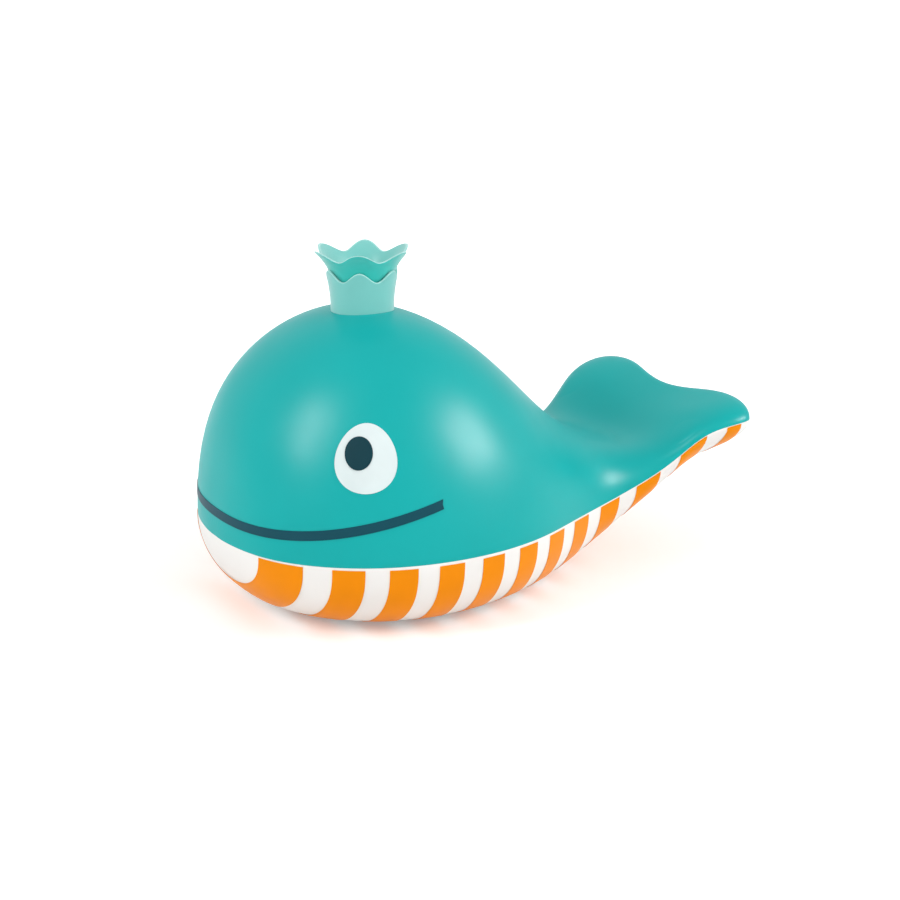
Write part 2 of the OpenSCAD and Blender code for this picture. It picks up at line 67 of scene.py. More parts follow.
# The camera stands in front of the whale's left side, a little above it, with a long
# lens, at the photograph's viewing angle.
camera_azimuth = math.radians(-28.77)
camera_elevation = math.radians(15.96)
camera_distance = 0.5612
camera_target = Vector((-0.00394, 0, 0.03816))
camera_side = Vector((
    math.sin(camera_azimuth) * math.cos(camera_elevation),
    -math.cos(camera_azimuth) * math.cos(camera_elevation),
    math.sin(camera_elevation),
))
bpy.ops.object.camera_add(location=camera_target + camera_side * camera_distance)
camera = bpy.context.object
camera.rotation_euler = (-camera_side).to_track_quat("-Z", "Y").to_euler()
camera.data.sensor_width = 36
camera.data.lens = 72.24
camera.data.clip_start = 0.01
camera.data.clip_end = 100
bpy.context.scene.camera = camera

# The studio: a white table that runs out of sight, two tall soft boxes in front of the
# whale, one to each side of the camera, and an even white room that fills the shadows.


def seen_directly(tree):
    """1 for what the camera sees, also in a mirror or through glass, and 0 for other light"""
    path = tree.nodes.new("ShaderNodeLightPath")
    through = tree.nodes.new("ShaderNodeMath")
    seen = tree.nodes.new("ShaderNodeMath")
    seen.use_clamp = True
    tree.links.new(path.outputs["Is Glossy Ray"], through.inputs[0])
    tree.links.new(path.outputs["Is Transmission Ray"], through.inputs[1])
    tree.links.new(path.outputs["Is Camera Ray"], seen.inputs[0])
    tree.links.new(through.outputs["Value"], seen.inputs[1])
    return seen.outputs["Value"]


table_width = 60
table_drop = 0.00005
table_near = 0.1
table_far = 0.45
near_glow = 0.25
far_glow = 0.6
bpy.ops.mesh.primitive_plane_add(size=table_width, location=(0, 0, -table_drop))
table_top = bpy.context.object
table_top.name = "table_top"
table_paint = bpy.data.materials.new("table_paint")
table_paint.use_nodes = True
tree = table_paint.node_tree
paint = tree.nodes["Principled BSDF"]
paint.inputs["Base Color"].default_value = (0.93, 0.93, 0.93, 1)
paint.inputs["Roughness"].default_value = 0.9
paint.inputs["Specular IOR Level"].default_value = 0.1
place = tree.nodes.new("ShaderNodeTexCoord")
distance = tree.nodes.new("ShaderNodeVectorMath")
distance.operation = "LENGTH"
glow_level = tree.nodes.new("ShaderNodeMapRange")
glow_level.inputs["From Min"].default_value = table_near
glow_level.inputs["From Max"].default_value = table_far
glow_level.inputs["To Min"].default_value = near_glow
glow_level.inputs["To Max"].default_value = far_glow
glow = tree.nodes.new("ShaderNodeEmission")
glow.inputs["Color"].default_value = (1, 1, 1, 1)
glow_share = tree.nodes.new("ShaderNodeMath")
glow_share.operation = "MULTIPLY"
lit = tree.nodes.new("ShaderNodeAddShader")
tree.links.new(place.outputs["Object"], distance.inputs[0])
tree.links.new(distance.outputs["Value"], glow_level.inputs["Value"])
tree.links.new(seen_directly(tree), glow_share.inputs[0])
tree.links.new(glow_level.outputs["Result"], glow_share.inputs[1])
tree.links.new(glow_share.outputs["Value"], glow.inputs["Strength"])
tree.links.new(paint.outputs["BSDF"], lit.inputs[0])
tree.links.new(glow.outputs["Emission"], lit.inputs[1])
tree.links.new(lit.outputs["Shader"], tree.nodes["Material Output"].inputs["Surface"])
table_top.data.materials.append(table_paint)

room = bpy.data.worlds.new("room")
bpy.context.scene.world = room
room.use_nodes = True
tree = room.node_tree
fill = tree.nodes["Background"]
fill.inputs["Color"].default_value = (1, 1, 1, 1)
fill.inputs["Strength"].default_value = 0.7
white_wall = tree.nodes.new("ShaderNodeBackground")
white_wall.inputs["Color"].default_value = (1, 1, 1, 1)
white_wall.inputs["Strength"].default_value = 1
wall_or_fill = tree.nodes.new("ShaderNodeMixShader")
tree.links.new(seen_directly(tree), wall_or_fill.inputs["Fac"])
tree.links.new(fill.outputs["Background"], wall_or_fill.inputs[1])
tree.links.new(white_wall.outputs["Background"], wall_or_fill.inputs[2])
tree.links.new(wall_or_fill.outputs["Shader"], tree.nodes["World Output"].inputs["Surface"])
bpy.context.scene.view_settings.view_transform = "Standard"

head_middle = Vector((-0.03, 0, 0.05))
lamp_distance = 0.9


def hang_softbox(name, azimuth, elevation, width, height, power, shine):
    """A soft box that faces the whale's head from that side. Its light on the vinyl and its
    image in the vinyl's sheen are two lamps in one place, so that each has its own level."""
    azimuth, elevation = math.radians(azimuth), math.radians(elevation)
    side = Vector((
        math.cos(azimuth) * math.cos(elevation),
        math.sin(azimuth) * math.cos(elevation),
        math.sin(elevation),
    ))
    for use, energy in (("light", power), ("shine", shine)):
        bpy.ops.object.light_add(type="AREA", location=head_middle + side * lamp_distance)
        lamp = bpy.context.object
        lamp.name = name + "_" + use
        lamp.rotation_euler = (-side).to_track_quat("-Z", "Y").to_euler()
        lamp.data.shape = "RECTANGLE"
        lamp.data.size = width
        lamp.data.size_y = height
        lamp.data.energy = energy
        lamp.visible_diffuse = use == "light"
        lamp.visible_glossy = use == "shine"


hang_softbox(
    "softbox_left", azimuth=-172, elevation=36, width=0.2, height=0.46, power=2.4, shine=14
)
hang_softbox(
    "softbox_right", azimuth=-46, elevation=28, width=0.42, height=0.42, power=2.9, shine=23
)

# The whale's outer form, as its mould has it: rings of points at stations from the nose
# to the flukes, smoothed into one skin. Both vinyl halves and every print follow it.
body_length = 0.165
body_width = 0.115
body_height = 0.0865
ring_points = 24
place_shares = [0, 0, 0.02, 0.09, 0.2, 0.335, 0.475, 0.6, 0.71, 0.82, 0.882, 0.957, 0.978]
half_width_shares = [0, 0.065, 0.23, 0.38, 0.48, 0.515, 0.47, 0.355, 0.27, 0.32, 0.355, 0.415, 0.205]
top_shares = [0.265, 0.32, 0.645, 0.855, 0.99, 1.03, 0.905, 0.65, 0.475, 0.405, 0.505, 0.575, 0.59]
seam_shares = [0.265, 0.265, 0.255, 0.255, 0.255, 0.26, 0.265, 0.27, 0.275, 0.315, 0.385, 0.525, 0.59]
bottom_shares = [0.265, 0.215, 0.095, -0.01, -0.07, -0.085, -0.07, -0.055, 0.03, 0.2, 0.305, 0.375, 0.59]
trail_shares = [0] * 9 + [0.015, 0.045, 0.072, 0.041]
lift_shares = [0] * 9 + [0.085, 0.145, 0.03, -0.06]
lobe_shares = [0] * 10 + [0.02, 0.035, 0.035]
tip_shares = [0] * 10 + [0.04, 0.03, 0.025]
tip_power = 8
last_ring = len(place_shares) - 1
nose_rings = 2
back_roundness = 0.9
belly_roundness = 0.95
above_seam = 0
below_seam = 1
shell_levels = 3
film_levels = 4
same_place = 1e-6


def shrink(size, wall):
    """A section's size inside a wall: it loses the whole wall where it is wide, and less
    where it is slim"""
    return size * size / (size + wall) if size else 0


def station_point(ring, column, wall, rest):
    """A ring's point at a column, 0 on top and 6 at the right seam, drawn in by the wall.
    What would lie below the rest height is pressed flat. The sine and cosine are rounded so
    that the crest and the seam come out exactly."""
    angle = math.tau * column / ring_points
    sine = round(math.sin(angle), 9)
    cosine = round(math.cos(angle), 9)
    roundness = back_roundness if cosine > 0 else belly_roundness
    if ring < nose_rings:
        roundness = 1
    if ring == last_ring:
        roundness = (back_roundness + belly_roundness) / 2
    across = math.copysign(abs(sine) ** roundness, sine)
    upright = math.copysign(abs(cosine) ** roundness, cosine)
    seam_z = seam_shares[ring] * body_height
    top = shrink(top_shares[ring] * body_height - seam_z, wall)
    bottom = shrink(seam_z - bottom_shares[ring] * body_height, wall)
    swept = trail_shares[ring] * across ** 2 - tip_shares[ring] * across ** tip_power
    x = (body_length - 2 * wall) * (place_shares[ring] - 0.5) + body_length * swept
    y = shrink(half_width_shares[ring] * body_width, wall) * across
    z = seam_z + (top if cosine > 0 else bottom) * upright
    z += body_height * lift_shares[ring] * across ** 2
    if cosine > 0 or ring == last_ring:
        z += body_height * lobe_shares[ring] * (2 * across * upright) ** 2
    return x, y, max(z, rest)


def form_skin(name, wall, rest, levels):
    """Extrudes a ring from station to station, closes both ends and smooths the whole.
    The material's number marks the half that a face belongs to."""
    bpy.ops.object.select_all(action="DESELECT")
    bpy.ops.mesh.primitive_circle_add(vertices=ring_points, radius=1, rotation=(0, math.pi / 2, 0))
    skin = bpy.context.object
    skin.name = name
    bpy.ops.object.transform_apply(location=True, rotation=True, scale=True)
    bpy.ops.object.mode_set(mode="EDIT")
    bpy.ops.mesh.select_mode(type="VERT")
    bpy.ops.mesh.select_all(action="SELECT")
    for _ in range(last_ring):
        bpy.ops.mesh.extrude_region_move(TRANSFORM_OT_translate={"value": (1, 0, 0)})
    bpy.ops.object.mode_set(mode="OBJECT")
    skin.data.materials.append(None)
    skin.data.materials.append(None)
    for face in skin.data.polygons:
        face.material_index = above_seam if face.center.z > 0 else below_seam
    for vertex in skin.data.vertices:
        ring = round(vertex.co.x)
        column = round(math.atan2(vertex.co.y, vertex.co.z) / math.tau * ring_points)
        vertex.co = station_point(ring, column, wall, rest)
    bpy.ops.object.mode_set(mode="EDIT")
    bpy.ops.mesh.select_all(action="SELECT")
    bpy.ops.mesh.remove_doubles(threshold=same_place)
    bpy.ops.mesh.normals_make_consistent(inside=False)
    bpy.ops.object.mode_set(mode="OBJECT")
    smooth = skin.modifiers.new("smooth", "SUBSURF")
    smooth.levels = levels
    smooth.render_levels = levels
    bpy.ops.object.modifier_apply(modifier=smooth.name)
    return skin


def keep_half(skin, half):
    """Deletes the faces on the other side of the seam"""
    bpy.ops.object.select_all(action="DESELECT")
    skin.select_set(True)
    bpy.context.view_layer.objects.active = skin
    bpy.ops.object.mode_set(mode="EDIT")
    bpy.ops.mesh.select_mode(type="FACE")
    bpy.ops.mesh.select_all(action="DESELECT")
    skin.active_material_index = 1 - half
    bpy.ops.object.material_slot_select()
    bpy.ops.mesh.delete(type="FACE")
    bpy.ops.object.mode_set(mode="OBJECT")
    skin.data.materials.clear()
    return skin


def form_wall(name, half, thickness, rest, levels):
    """One half of the whale as a wall: an outer and an inner skin, bridged at the seam"""
    outer = keep_half(form_skin(name, 0, rest, levels), half)
    inner = keep_half(form_skin(name + "_inside", thickness, thickness, levels), half)
    bpy.ops.object.mode_set(mode="EDIT")
    bpy.ops.mesh.select_all(action="SELECT")
    bpy.ops.mesh.flip_normals()
    bpy.ops.object.mode_set(mode="OBJECT")
    outer.select_set(True)
    bpy.context.view_layer.objects.active = outer
    bpy.ops.object.join()
    bpy.ops.object.mode_set(mode="EDIT")
    bpy.ops.mesh.select_mode(type="EDGE")
    bpy.ops.mesh.select_all(action="DESELECT")
    bpy.ops.mesh.select_non_manifold()
    bpy.ops.mesh.bridge_edge_loops()
    bpy.ops.object.mode_set(mode="OBJECT")
    return outer


# The teal back: one soft vinyl moulding from the nose to the flukes, open along its seam.
# A thick pad under the top of the head carries the crown in a shallow round seat.
back_wall = 0.002
seam_ease = 0.00012
crown_place_share = 0.297
crown_x = body_length * (crown_place_share - 0.5)
fit_gap = 0.00005
overrun = 0.001
seat_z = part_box("crown_collar")[0].z - fit_gap
seat_radius = 0.00945
seat_depth = 0.0012
pad_radius = 0.0105
pad_thickness = 0.003
pad_top_gap = 0.0002
stem_hole_radius = 0.00305


def ease_edges(piece, width, sharp_degrees=60):
    """A small round on the sharp edges, as the mould leaves it"""
    ease = piece.modifiers.new("ease", "BEVEL")
    ease.width = width
    ease.segments = 2
    ease.limit_method = "ANGLE"
    ease.angle_limit = math.radians(sharp_degrees)
    bpy.ops.object.modifier_apply(modifier=ease.name)
    return piece


def finish_faces(piece, crease_degrees=40):
    """Smooth shading that breaks at real edges"""
    bpy.ops.object.select_all(action="DESELECT")
    piece.select_set(True)
    bpy.context.view_layer.objects.active = piece
    bpy.ops.object.shade_smooth_by_angle(angle=math.radians(crease_degrees))
    return piece


def cut_with(piece, tool, operation):
    """Cuts or joins a piece with a tool body, and puts the tool away"""
    bpy.ops.object.select_all(action="DESELECT")
    piece.select_set(True)
    bpy.context.view_layer.objects.active = piece
    cut = piece.modifiers.new("cut", "BOOLEAN")
    cut.operation = operation
    cut.object = tool
    cut.solver = "EXACT"
    bpy.ops.object.modifier_apply(modifier=cut.name)
    bpy.data.objects.remove(tool)
    return piece


def turned_body(radius, low, high, place_x, facets=96):
    """A plain upright cylinder used as a cutting or joining tool"""
    bpy.ops.object.select_all(action="DESELECT")
    bpy.ops.mesh.primitive_cylinder_add(
        vertices=facets, radius=radius, depth=high - low, location=(place_x, 0, (low + high) / 2)
    )
    return bpy.context.object


def moulded_vinyl(name, color, deeper, roughness, bloom=0):
    """Satin vinyl: the pigment clouds a little, the mould leaves a fine eggshell grain, and
    the softer the vinyl is, the more of a pale bloom it has where it turns away"""
    vinyl = bpy.data.materials.new(name)
    vinyl.use_nodes = True
    tree = vinyl.node_tree
    shader = tree.nodes["Principled BSDF"]
    shader.inputs["Specular IOR Level"].default_value = 0.12
    shader.inputs["Sheen Weight"].default_value = bloom
    shader.inputs["Sheen Roughness"].default_value = 0.5
    place = tree.nodes.new("ShaderNodeTexCoord")
    cloud = tree.nodes.new("ShaderNodeTexNoise")
    cloud.inputs["Scale"].default_value = 28
    cloud.inputs["Detail"].default_value = 3
    tint = tree.nodes.new("ShaderNodeValToRGB")
    tint.color_ramp.elements[0].position = 0.3
    tint.color_ramp.elements[0].color = (*deeper, 1)
    tint.color_ramp.elements[1].position = 0.7
    tint.color_ramp.elements[1].color = (*color, 1)
    wear = tree.nodes.new("ShaderNodeTexNoise")
    wear.inputs["Scale"].default_value = 75
    wear.inputs["Detail"].default_value = 4
    sheen = tree.nodes.new("ShaderNodeMapRange")
    sheen.inputs["From Min"].default_value = 0.3
    sheen.inputs["From Max"].default_value = 0.7
    sheen.inputs["To Min"].default_value = roughness - 0.03
    sheen.inputs["To Max"].default_value = roughness + 0.03
    eggshell = tree.nodes.new("ShaderNodeTexNoise")
    eggshell.inputs["Scale"].default_value = 1700
    eggshell.inputs["Detail"].default_value = 2
    bump = tree.nodes.new("ShaderNodeBump")
    bump.inputs["Strength"].default_value = 0.4
    bump.inputs["Distance"].default_value = 0.00003
    for texture in (cloud, wear, eggshell):
        tree.links.new(place.outputs["Object"], texture.inputs["Vector"])
    tree.links.new(cloud.outputs["Fac"], tint.inputs["Fac"])
    tree.links.new(tint.outputs["Color"], shader.inputs["Base Color"])
    tree.links.new(wear.outputs["Fac"], sheen.inputs["Value"])
    tree.links.new(sheen.outputs["Result"], shader.inputs["Roughness"])
    tree.links.new(eggshell.outputs["Fac"], bump.inputs["Height"])
    tree.links.new(bump.outputs["Normal"], shader.inputs["Normal"])
    return vinyl


back = form_wall("back_shell_vinyl", above_seam, back_wall, 0, shell_levels)
ease_edges(back, seam_ease)
pad_low = seat_z - pad_thickness
cut_with(back, turned_body(pad_radius, pad_low, seat_z - pad_top_gap, crown_x), "UNION")
seat_high = seat_z + seat_depth + overrun
cut_with(back, turned_body(seat_radius, seat_z, seat_high, crown_x), "DIFFERENCE")
cut_with(back, turned_body(stem_hole_radius, pad_low - overrun, seat_high, crown_x), "DIFFERENCE")
finish_faces(back)
back.data.materials.append(
    moulded_vinyl("teal_vinyl", (0.006, 0.418, 0.41), (0.004, 0.395, 0.388), 0.37)
)
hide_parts("back_shell")
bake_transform(back)

# The white belly: the lower vinyl half, thicker so that the toy floats upright. Its flat
# has a round hole for the squeaker, with a thick ring round it that the plug grips.
belly_wall = 0.0033
rest_lift = 0.00015
squeaker_x = (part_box("squeaker_cup")[0].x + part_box("squeaker_cup")[1].x) / 2
boss_radius = 0.011
boss_height = 0.006
flange_radius = 0.00805
flange_depth = 0.00145
plug_radius = 0.00665
belly = form_wall("belly_shell_vinyl", below_seam, belly_wall, rest_lift, shell_levels)
ease_edges(belly, seam_ease)
cut_with(belly, turned_body(boss_radius, belly_wall / 2, boss_height, squeaker_x), "UNION")
cut_with(belly, turned_body(flange_radius, -overrun, flange_depth, squeaker_x), "DIFFERENCE")
plug_high = boss_height + overrun
cut_with(belly, turned_body(plug_radius, -overrun, plug_high, squeaker_x), "DIFFERENCE")
finish_faces(belly)
belly.data.materials.append(
    moulded_vinyl("white_vinyl", (0.9, 0.885, 0.86), (0.87, 0.855, 0.83), 0.42)
)
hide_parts("belly_shell")
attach(belly, "body")

# The orange stripes: ink printed on the belly in twelve even bands that run right round
# under the whale, short of the seam by a thin white lip and short of the fluke tips.
stripe_count = 12
first_stripe_share = 0.023
stripe_pitch_share = 0.0822
stripe_fill_share = 0.556
stripe_end_share = 0.955
ink_gap = 0.00006
ink_thickness = 0.00009
ink_margin = 0.0002


def printed_ink(name, color, roughness):
    """A flat coat of pad-printed ink: even colour, with the faint ripple of the print pad"""
    ink = bpy.data.materials.new(name)
    ink.use_nodes = True
    tree = ink.node_tree
    shader = tree.nodes["Principled BSDF"]
    shader.inputs["Specular IOR Level"].default_value = 0.07
    place = tree.nodes.new("ShaderNodeTexCoord")
    cloud = tree.nodes.new("ShaderNodeTexNoise")
    cloud.inputs["Scale"].default_value = 90
    cloud.inputs["Detail"].default_value = 5
    tint = tree.nodes.new("ShaderNodeValToRGB")
    tint.color_ramp.elements[0].position = 0.3
    tint.color_ramp.elements[0].color = (*[c * 0.94 for c in color], 1)
    tint.color_ramp.elements[1].position = 0.7
    tint.color_ramp.elements[1].color = (*color, 1)
    sheen = tree.nodes.new("ShaderNodeMapRange")
    sheen.inputs["To Min"].default_value = roughness - 0.04
    sheen.inputs["To Max"].default_value = roughness + 0.04
    ripple = tree.nodes.new("ShaderNodeTexNoise")
    ripple.inputs["Scale"].default_value = 1700
    bump = tree.nodes.new("ShaderNodeBump")
    bump.inputs["Strength"].default_value = 0.3
    bump.inputs["Distance"].default_value = 0.00002
    for texture in (cloud, ripple):
        tree.links.new(place.outputs["Object"], texture.inputs["Vector"])
    tree.links.new(cloud.outputs["Fac"], tint.inputs["Fac"])
    tree.links.new(tint.outputs["Color"], shader.inputs["Base Color"])
    tree.links.new(cloud.outputs["Fac"], sheen.inputs["Value"])
    tree.links.new(sheen.outputs["Result"], shader.inputs["Roughness"])
    tree.links.new(ripple.outputs["Fac"], bump.inputs["Height"])
    tree.links.new(bump.outputs["Normal"], shader.inputs["Normal"])
    return ink


def thicken_film(film):
    """Turns a sheet of ink into a thin solid, outwards from the vinyl"""
    coat = film.modifiers.new("coat", "SOLIDIFY")
    coat.thickness = ink_thickness
    coat.offset = 1
    bpy.ops.object.modifier_apply(modifier=coat.name)
    return film


# The row of faces along the seam comes off, which leaves the white lip
stripes = keep_half(form_skin("stripe_ink", -ink_gap, ink_thickness, film_levels), below_seam)
bpy.ops.object.mode_set(mode="EDIT")
bpy.ops.mesh.select_mode(type="EDGE")
bpy.ops.mesh.select_all(action="DESELECT")
bpy.ops.mesh.select_non_manifold()
bpy.ops.mesh.select_more()
bpy.ops.mesh.select_mode(type="FACE")
bpy.ops.mesh.delete(type="FACE")

# The film is parted at the bands' edges, and what lies between the bands comes off
bands = []
for i in range(stripe_count):
    front_share = first_stripe_share + i * stripe_pitch_share
    back_share = min(front_share + stripe_pitch_share * stripe_fill_share, stripe_end_share)
    bands.append((body_length * (front_share - 0.5), body_length * (back_share - 0.5)))
for band in bands:
    for edge in band:
        bpy.ops.mesh.select_all(action="SELECT")
        bpy.ops.mesh.bisect(plane_co=(edge, 0, 0), plane_no=(1, 0, 0))
bpy.ops.mesh.select_all(action="DESELECT")
bpy.ops.object.mode_set(mode="OBJECT")
for face in stripes.data.polygons:
    face.select = not any(front < face.center.x < back for front, back in bands)
bpy.ops.object.mode_set(mode="EDIT")
bpy.ops.mesh.delete(type="FACE")
bpy.ops.object.mode_set(mode="OBJECT")
thicken_film(stripes)
hole_radius = flange_radius + ink_margin
cut_with(stripes, turned_body(hole_radius, -overrun, belly_wall, squeaker_x), "DIFFERENCE")
finish_faces(stripes)
stripes.data.materials.append(printed_ink("orange_ink", (0.92, 0.278, 0.001), 0.36))
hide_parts("belly_stripes")
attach(stripes, "body")

# The mouth: one dark line of ink that wraps the face, low at the nose and rising to
# small notched corners behind the eyes.
mouth_height = 0.0302
mouth_rise = 0.0106
mouth_bend = 1.35
mouth_length = 0.0464
mouth_width = 0.0027
mouth_notch = 0.0003
mouth_steps = 32
mouth_overrun = 0.002


def head_film(name, level):
    """The ink layer on the head that a print is cut from; level 1 lies on level 0"""
    gap = ink_gap + level * (ink_thickness + ink_gap)
    film = keep_half(form_skin(name, -gap, 0, film_levels), above_seam)
    bpy.ops.object.mode_set(mode="EDIT")
    bpy.ops.mesh.select_all(action="SELECT")
    bpy.ops.mesh.bisect(plane_co=(0, 0, 0), plane_no=(1, 0, 0), clear_outer=True)
    bpy.ops.object.mode_set(mode="OBJECT")
    return thicken_film(film)


# The line as an upright sheet, notched at its end and swept through the whole head
bpy.ops.object.select_all(action="DESELECT")
bpy.ops.mesh.primitive_grid_add(
    x_subdivisions=mouth_steps, y_subdivisions=2, size=1, rotation=(math.pi / 2, 0, 0)
)
mouth_tool = bpy.context.object
bpy.ops.object.transform_apply(location=True, rotation=True, scale=True)
for vertex in mouth_tool.data.vertices:
    step = round((vertex.co.x + 0.5) * mouth_steps)
    share = step / mouth_steps
    across = vertex.co.z * 2
    x = -body_length / 2 + mouth_length * share
    if step == mouth_steps:
        x -= mouth_notch * (1 - abs(across))
    if step == 0:
        x -= mouth_overrun
    z = mouth_height + mouth_rise * share ** mouth_bend + across * mouth_width / 2
    vertex.co = (x, -body_width, z)
bpy.ops.object.mode_set(mode="EDIT")
bpy.ops.mesh.select_all(action="SELECT")
bpy.ops.mesh.extrude_region_move(TRANSFORM_OT_translate={"value": (0, 2 * body_width, 0)})
bpy.ops.mesh.select_all(action="SELECT")
bpy.ops.mesh.normals_make_consistent(inside=False)
bpy.ops.object.mode_set(mode="OBJECT")
mouth = cut_with(head_film("mouth_ink", 0), mouth_tool, "INTERSECT")
finish_faces(mouth)
mouth.data.materials.append(printed_ink("mouth_ink", (0.0085, 0.074, 0.103), 0.38))
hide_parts("mouth_line")
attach(mouth, "body")

# The eyes: an egg of white ink on each side of the head with a dark oval pupil on it,
# facing forwards and a little upwards as the head does there.
eye_back = 0.0278
eye_height = 0.0539
eye_width = 0.0172
eye_tall = 0.0197
eye_taper_share = 0.13
pupil_back = 0.0264
pupil_height = 0.0551
pupil_width = 0.0078
pupil_tall = 0.0095
eye_turn = math.radians(33)
eye_tip = math.radians(22)
egg_steps = 72
bare_head = keep_half(form_skin("bare_head", 0, 0, film_levels), above_seam)
white_ink = printed_ink("eye_white_ink", (0.75, 0.845, 0.845), 0.4)
slate_ink = printed_ink("slate_ink", (0.0075, 0.047, 0.063), 0.38)


def print_oval(name, level, back_place, height, width, tall, taper, far):
    """Cuts an egg-shaped print out of the head's ink layer, facing as the eye does, where a
    line straight in from the side meets the head. The far one is its mirror."""
    place_x = -body_length / 2 + back_place
    _, point, _, _ = bare_head.ray_cast(Vector((place_x, -1, height)), Vector((0, 1, 0)))
    bpy.ops.object.select_all(action="DESELECT")
    bpy.ops.mesh.primitive_cylinder_add(vertices=egg_steps, radius=1, depth=eye_width)
    egg = bpy.context.object
    for vertex in egg.data.vertices:
        upwards = vertex.co.y
        vertex.co.x *= width / 2 * (1 - taper * upwards)
        vertex.co.y *= tall / 2
    egg.rotation_euler = (math.pi / 2 - eye_tip, 0, -eye_turn)
    egg.location = point
    bpy.ops.object.transform_apply(location=True, rotation=True, scale=True)
    if far:
        bpy.ops.object.mode_set(mode="EDIT")
        bpy.ops.mesh.select_all(action="SELECT")
        bpy.ops.transform.mirror(constraint_axis=(False, True, False))
        bpy.ops.transform.translate(value=(0, -2 * point.y, 0))
        bpy.ops.mesh.normals_make_consistent(inside=False)
        bpy.ops.object.mode_set(mode="OBJECT")
    oval = cut_with(head_film(name, level), egg, "INTERSECT")
    return finish_faces(oval)


for side, far in (("left", False), ("right", True)):
    eye_name = "eye_white_ink_" + side
    eye = print_oval(
        eye_name, 0, eye_back, eye_height, eye_width, eye_tall, eye_taper_share, far
    )
    eye.data.materials.append(white_ink)
    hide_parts("eye_white_" + side)
    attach(eye, "body")
    pupil = print_oval(
        "pupil_ink_" + side, 1, pupil_back, pupil_height, pupil_width, pupil_tall, 0, far
    )
    pupil.data.materials.append(slate_ink)
    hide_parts("pupil_" + side)
    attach(pupil, "body")
bpy.data.objects.remove(bare_head)

# The crown: two soft vinyl cups, one in the other, each with a round foot and a rim of six
# petals. The rims carry a painted highlight; the upper cup's outer wall, under its flare, a
# painted shade.
petal_count = 6
turn_steps = 96
wall_steps = 12
cup_wall = 0.0008
cup_floor = 0.0012
rim_round = cup_wall * 0.46
aqua_vinyl = moulded_vinyl("aqua_vinyl", (0.21, 0.615, 0.575), (0.185, 0.585, 0.545), 0.38, 0.8)
# A darker copy of the aqua vinyl: painted shade on the upper cup's outer wall, under its flare.
aqua_painted_shade = moulded_vinyl("aqua_painted_shade", (0.03, 0.57, 0.51), (0.025, 0.54, 0.48), 0.38, 0.5)
# A paler copy of the aqua vinyl: a painted highlight along the rounded rims.
aqua_painted_highlight = moulded_vinyl("aqua_painted_highlight", (0.38, 0.74, 0.7), (0.35, 0.7, 0.66), 0.38, 0.8)


def cup_radius(base_radius, tip_radius, flare, rise):
    """The outer radius of a cup's wall at a share of its height"""
    return base_radius + (tip_radius - base_radius) * max(rise, 0) ** flare


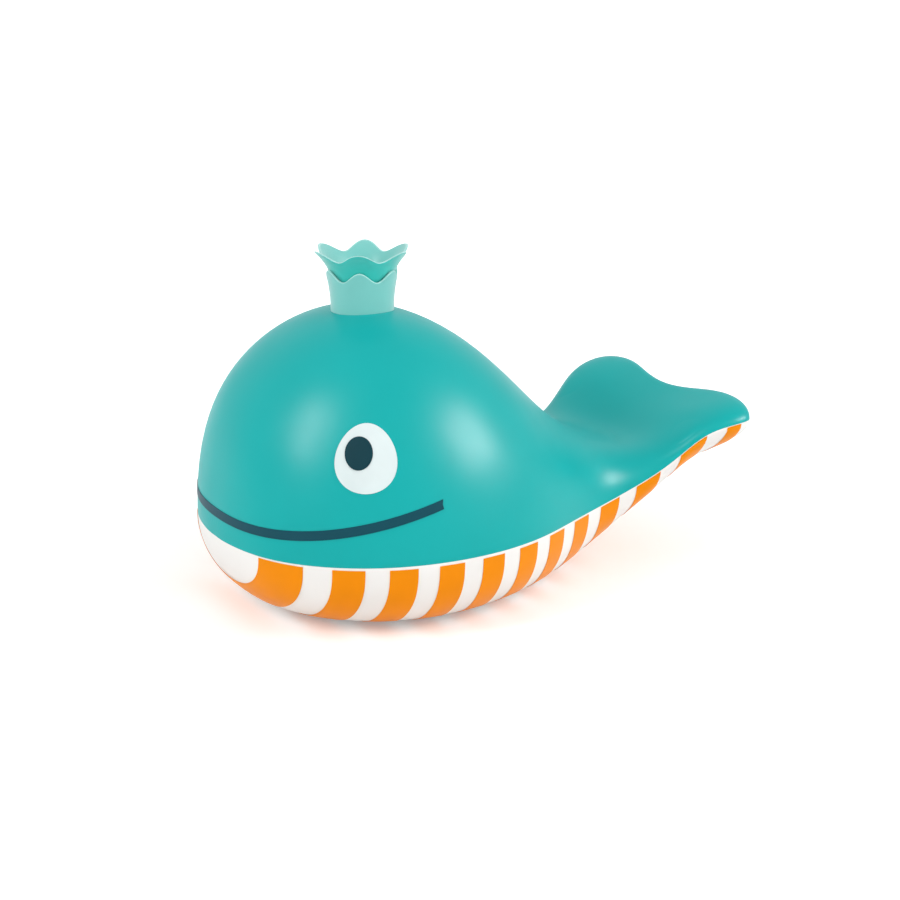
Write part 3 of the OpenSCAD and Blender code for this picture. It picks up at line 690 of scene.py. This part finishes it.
def turn_cup(name, base_radius, tip_radius, base_z, tip_z, flare, dip, outer_vinyl):
    """Spins a cup's section round the stem, rounds its rim, and lowers the wall between the
    petals while it keeps its flare. The rim gets a paler copy of the vinyl, a painted highlight,
    and the outer side its own vinyl, which on the upper cup is a painted shade."""
    height = tip_z - base_z
    wall_height = height - cup_floor
    rises = [i / wall_steps for i in range(wall_steps + 1)]
    outer = [(cup_radius(base_radius, tip_radius, flare, rise), height * rise) for rise in rises]
    inner = [(radius - cup_wall, z) for radius, z in reversed(outer) if z > cup_floor]
    outline = [(stem_hole_radius, 0)] + outer + inner
    outline += [(base_radius - cup_wall, cup_floor), (stem_hole_radius, cup_floor)]
    bpy.ops.object.select_all(action="DESELECT")
    bpy.ops.mesh.primitive_plane_add(size=base_radius, rotation=(math.pi / 2, 0, 0))
    cup = bpy.context.object
    cup.name = name
    bpy.ops.object.transform_apply(location=True, rotation=True, scale=True)
    bpy.ops.object.mode_set(mode="EDIT")
    bpy.ops.mesh.select_mode(type="VERT")
    bpy.ops.mesh.select_all(action="SELECT")
    bpy.ops.mesh.merge(type="CENTER")
    bpy.ops.object.mode_set(mode="OBJECT")
    cup.data.vertices[0].co = (outline[0][0], 0, outline[0][1])
    bpy.ops.object.mode_set(mode="EDIT")
    for here, there in zip(outline, outline[1:] + outline[:1]):
        step = (there[0] - here[0], 0, there[1] - here[1])
        bpy.ops.mesh.extrude_region_move(TRANSFORM_OT_translate={"value": step})
    bpy.ops.mesh.select_all(action="SELECT")
    bpy.ops.mesh.remove_doubles(threshold=same_place)
    bpy.ops.mesh.spin(
        steps=turn_steps, angle=math.tau, center=(0, 0, 0), axis=(0, 0, 1), use_auto_merge=True
    )
    bpy.ops.mesh.select_all(action="SELECT")
    bpy.ops.mesh.remove_doubles(threshold=same_place)
    bpy.ops.mesh.normals_make_consistent(inside=False)
    bpy.ops.mesh.select_mode(type="EDGE")
    bpy.ops.mesh.select_all(action="DESELECT")
    bpy.ops.object.mode_set(mode="OBJECT")
    for edge in cup.data.edges:
        a, b = (cup.data.vertices[i].co for i in edge.vertices)
        level = abs(a.xy.length - b.xy.length) < same_place
        edge.select = level and min(a.z, b.z) > height - same_place
    bpy.ops.object.mode_set(mode="EDIT")
    bpy.ops.mesh.bevel(offset=rim_round, segments=4, affect="EDGES")
    bpy.ops.object.mode_set(mode="OBJECT")
    # The rim faces take the painted highlight; the outward faces take the outer vinyl, which on the
    # upper cup is the painted shade.
    for vinyl in (aqua_vinyl, outer_vinyl, aqua_painted_highlight):
        cup.data.materials.append(vinyl)
    for face in cup.data.polygons:
        if face.select:
            face.material_index = 2
        elif face.center.xy.dot(face.normal.xy) > 0:
            face.material_index = 1
    for vertex in cup.data.vertices:
        x, y, z = vertex.co
        if z <= cup_floor + same_place:
            continue
        radius = math.hypot(x, y)
        turn = math.atan2(y, x)
        inwards = cup_radius(base_radius, tip_radius, flare, z / height) - radius
        wave = (1 - math.cos(petal_count * turn)) / 2
        lowered = cup_floor + (z - cup_floor) * (wall_height - dip * wave) / wall_height
        radius = cup_radius(base_radius, tip_radius, flare, lowered / height) - inwards
        vertex.co = (radius * math.cos(turn), radius * math.sin(turn), lowered)
    cup.location = (crown_x, 0, base_z)
    bpy.ops.object.transform_apply(location=True, rotation=True, scale=True)
    return finish_faces(cup, 50)


collar_low, collar_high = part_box("crown_collar")
ring_low, ring_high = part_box("crown_ring")
collar = turn_cup(
    "crown_collar_vinyl", base_radius=0.0094, tip_radius=0.0112, base_z=collar_low.z,
    tip_z=collar_high.z, flare=2.2, dip=0.003, outer_vinyl=aqua_vinyl
)
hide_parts("crown_collar")
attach(collar, "crown")
upper_cup = turn_cup(
    "crown_ring_vinyl", base_radius=0.0084, tip_radius=0.0152, base_z=ring_low.z,
    tip_z=ring_high.z, flare=3.2, dip=0.0028, outer_vinyl=aqua_painted_shade
)
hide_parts("crown_ring")
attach(upper_cup, "crown")

# The air stem, its retainer and the squeaker: small hard mouldings, pushed home by hand.
# They keep the frame's own shapes, and the reed is a strip of clear film.


def hard_plastic(name, color, roughness):
    """Glossy injection-moulded plastic with a faint flow ripple"""
    plastic = bpy.data.materials.new(name)
    plastic.use_nodes = True
    tree = plastic.node_tree
    shader = tree.nodes["Principled BSDF"]
    shader.inputs["Base Color"].default_value = (*color, 1)
    place = tree.nodes.new("ShaderNodeTexCoord")
    flow = tree.nodes.new("ShaderNodeTexNoise")
    flow.inputs["Scale"].default_value = 300
    sheen = tree.nodes.new("ShaderNodeMapRange")
    sheen.inputs["To Min"].default_value = roughness - 0.06
    sheen.inputs["To Max"].default_value = roughness + 0.06
    bump = tree.nodes.new("ShaderNodeBump")
    bump.inputs["Strength"].default_value = 0.2
    bump.inputs["Distance"].default_value = 0.00002
    tree.links.new(place.outputs["Object"], flow.inputs["Vector"])
    tree.links.new(flow.outputs["Fac"], sheen.inputs["Value"])
    tree.links.new(sheen.outputs["Result"], shader.inputs["Roughness"])
    tree.links.new(flow.outputs["Fac"], bump.inputs["Height"])
    tree.links.new(bump.outputs["Normal"], shader.inputs["Normal"])
    return plastic


stem_plastic = hard_plastic("stem_plastic", (0.82, 0.86, 0.86), 0.3)
squeaker_plastic = hard_plastic("squeaker_plastic", (0.86, 0.86, 0.83), 0.3)
reed_film = hard_plastic("reed_film", (0.75, 0.78, 0.76), 0.15)
for name, plastic in {
    "spout_stem": stem_plastic,
    "spout_retainer": stem_plastic,
    "squeaker_cup": squeaker_plastic,
    "squeaker_cap": squeaker_plastic,
    "reed_bed": squeaker_plastic,
    "reed_clamp": squeaker_plastic,
    "reed": reed_film,
}.items():
    moulding = frame["nodes"][name]
    moulding.data.materials.clear()
    moulding.data.materials.append(plastic)
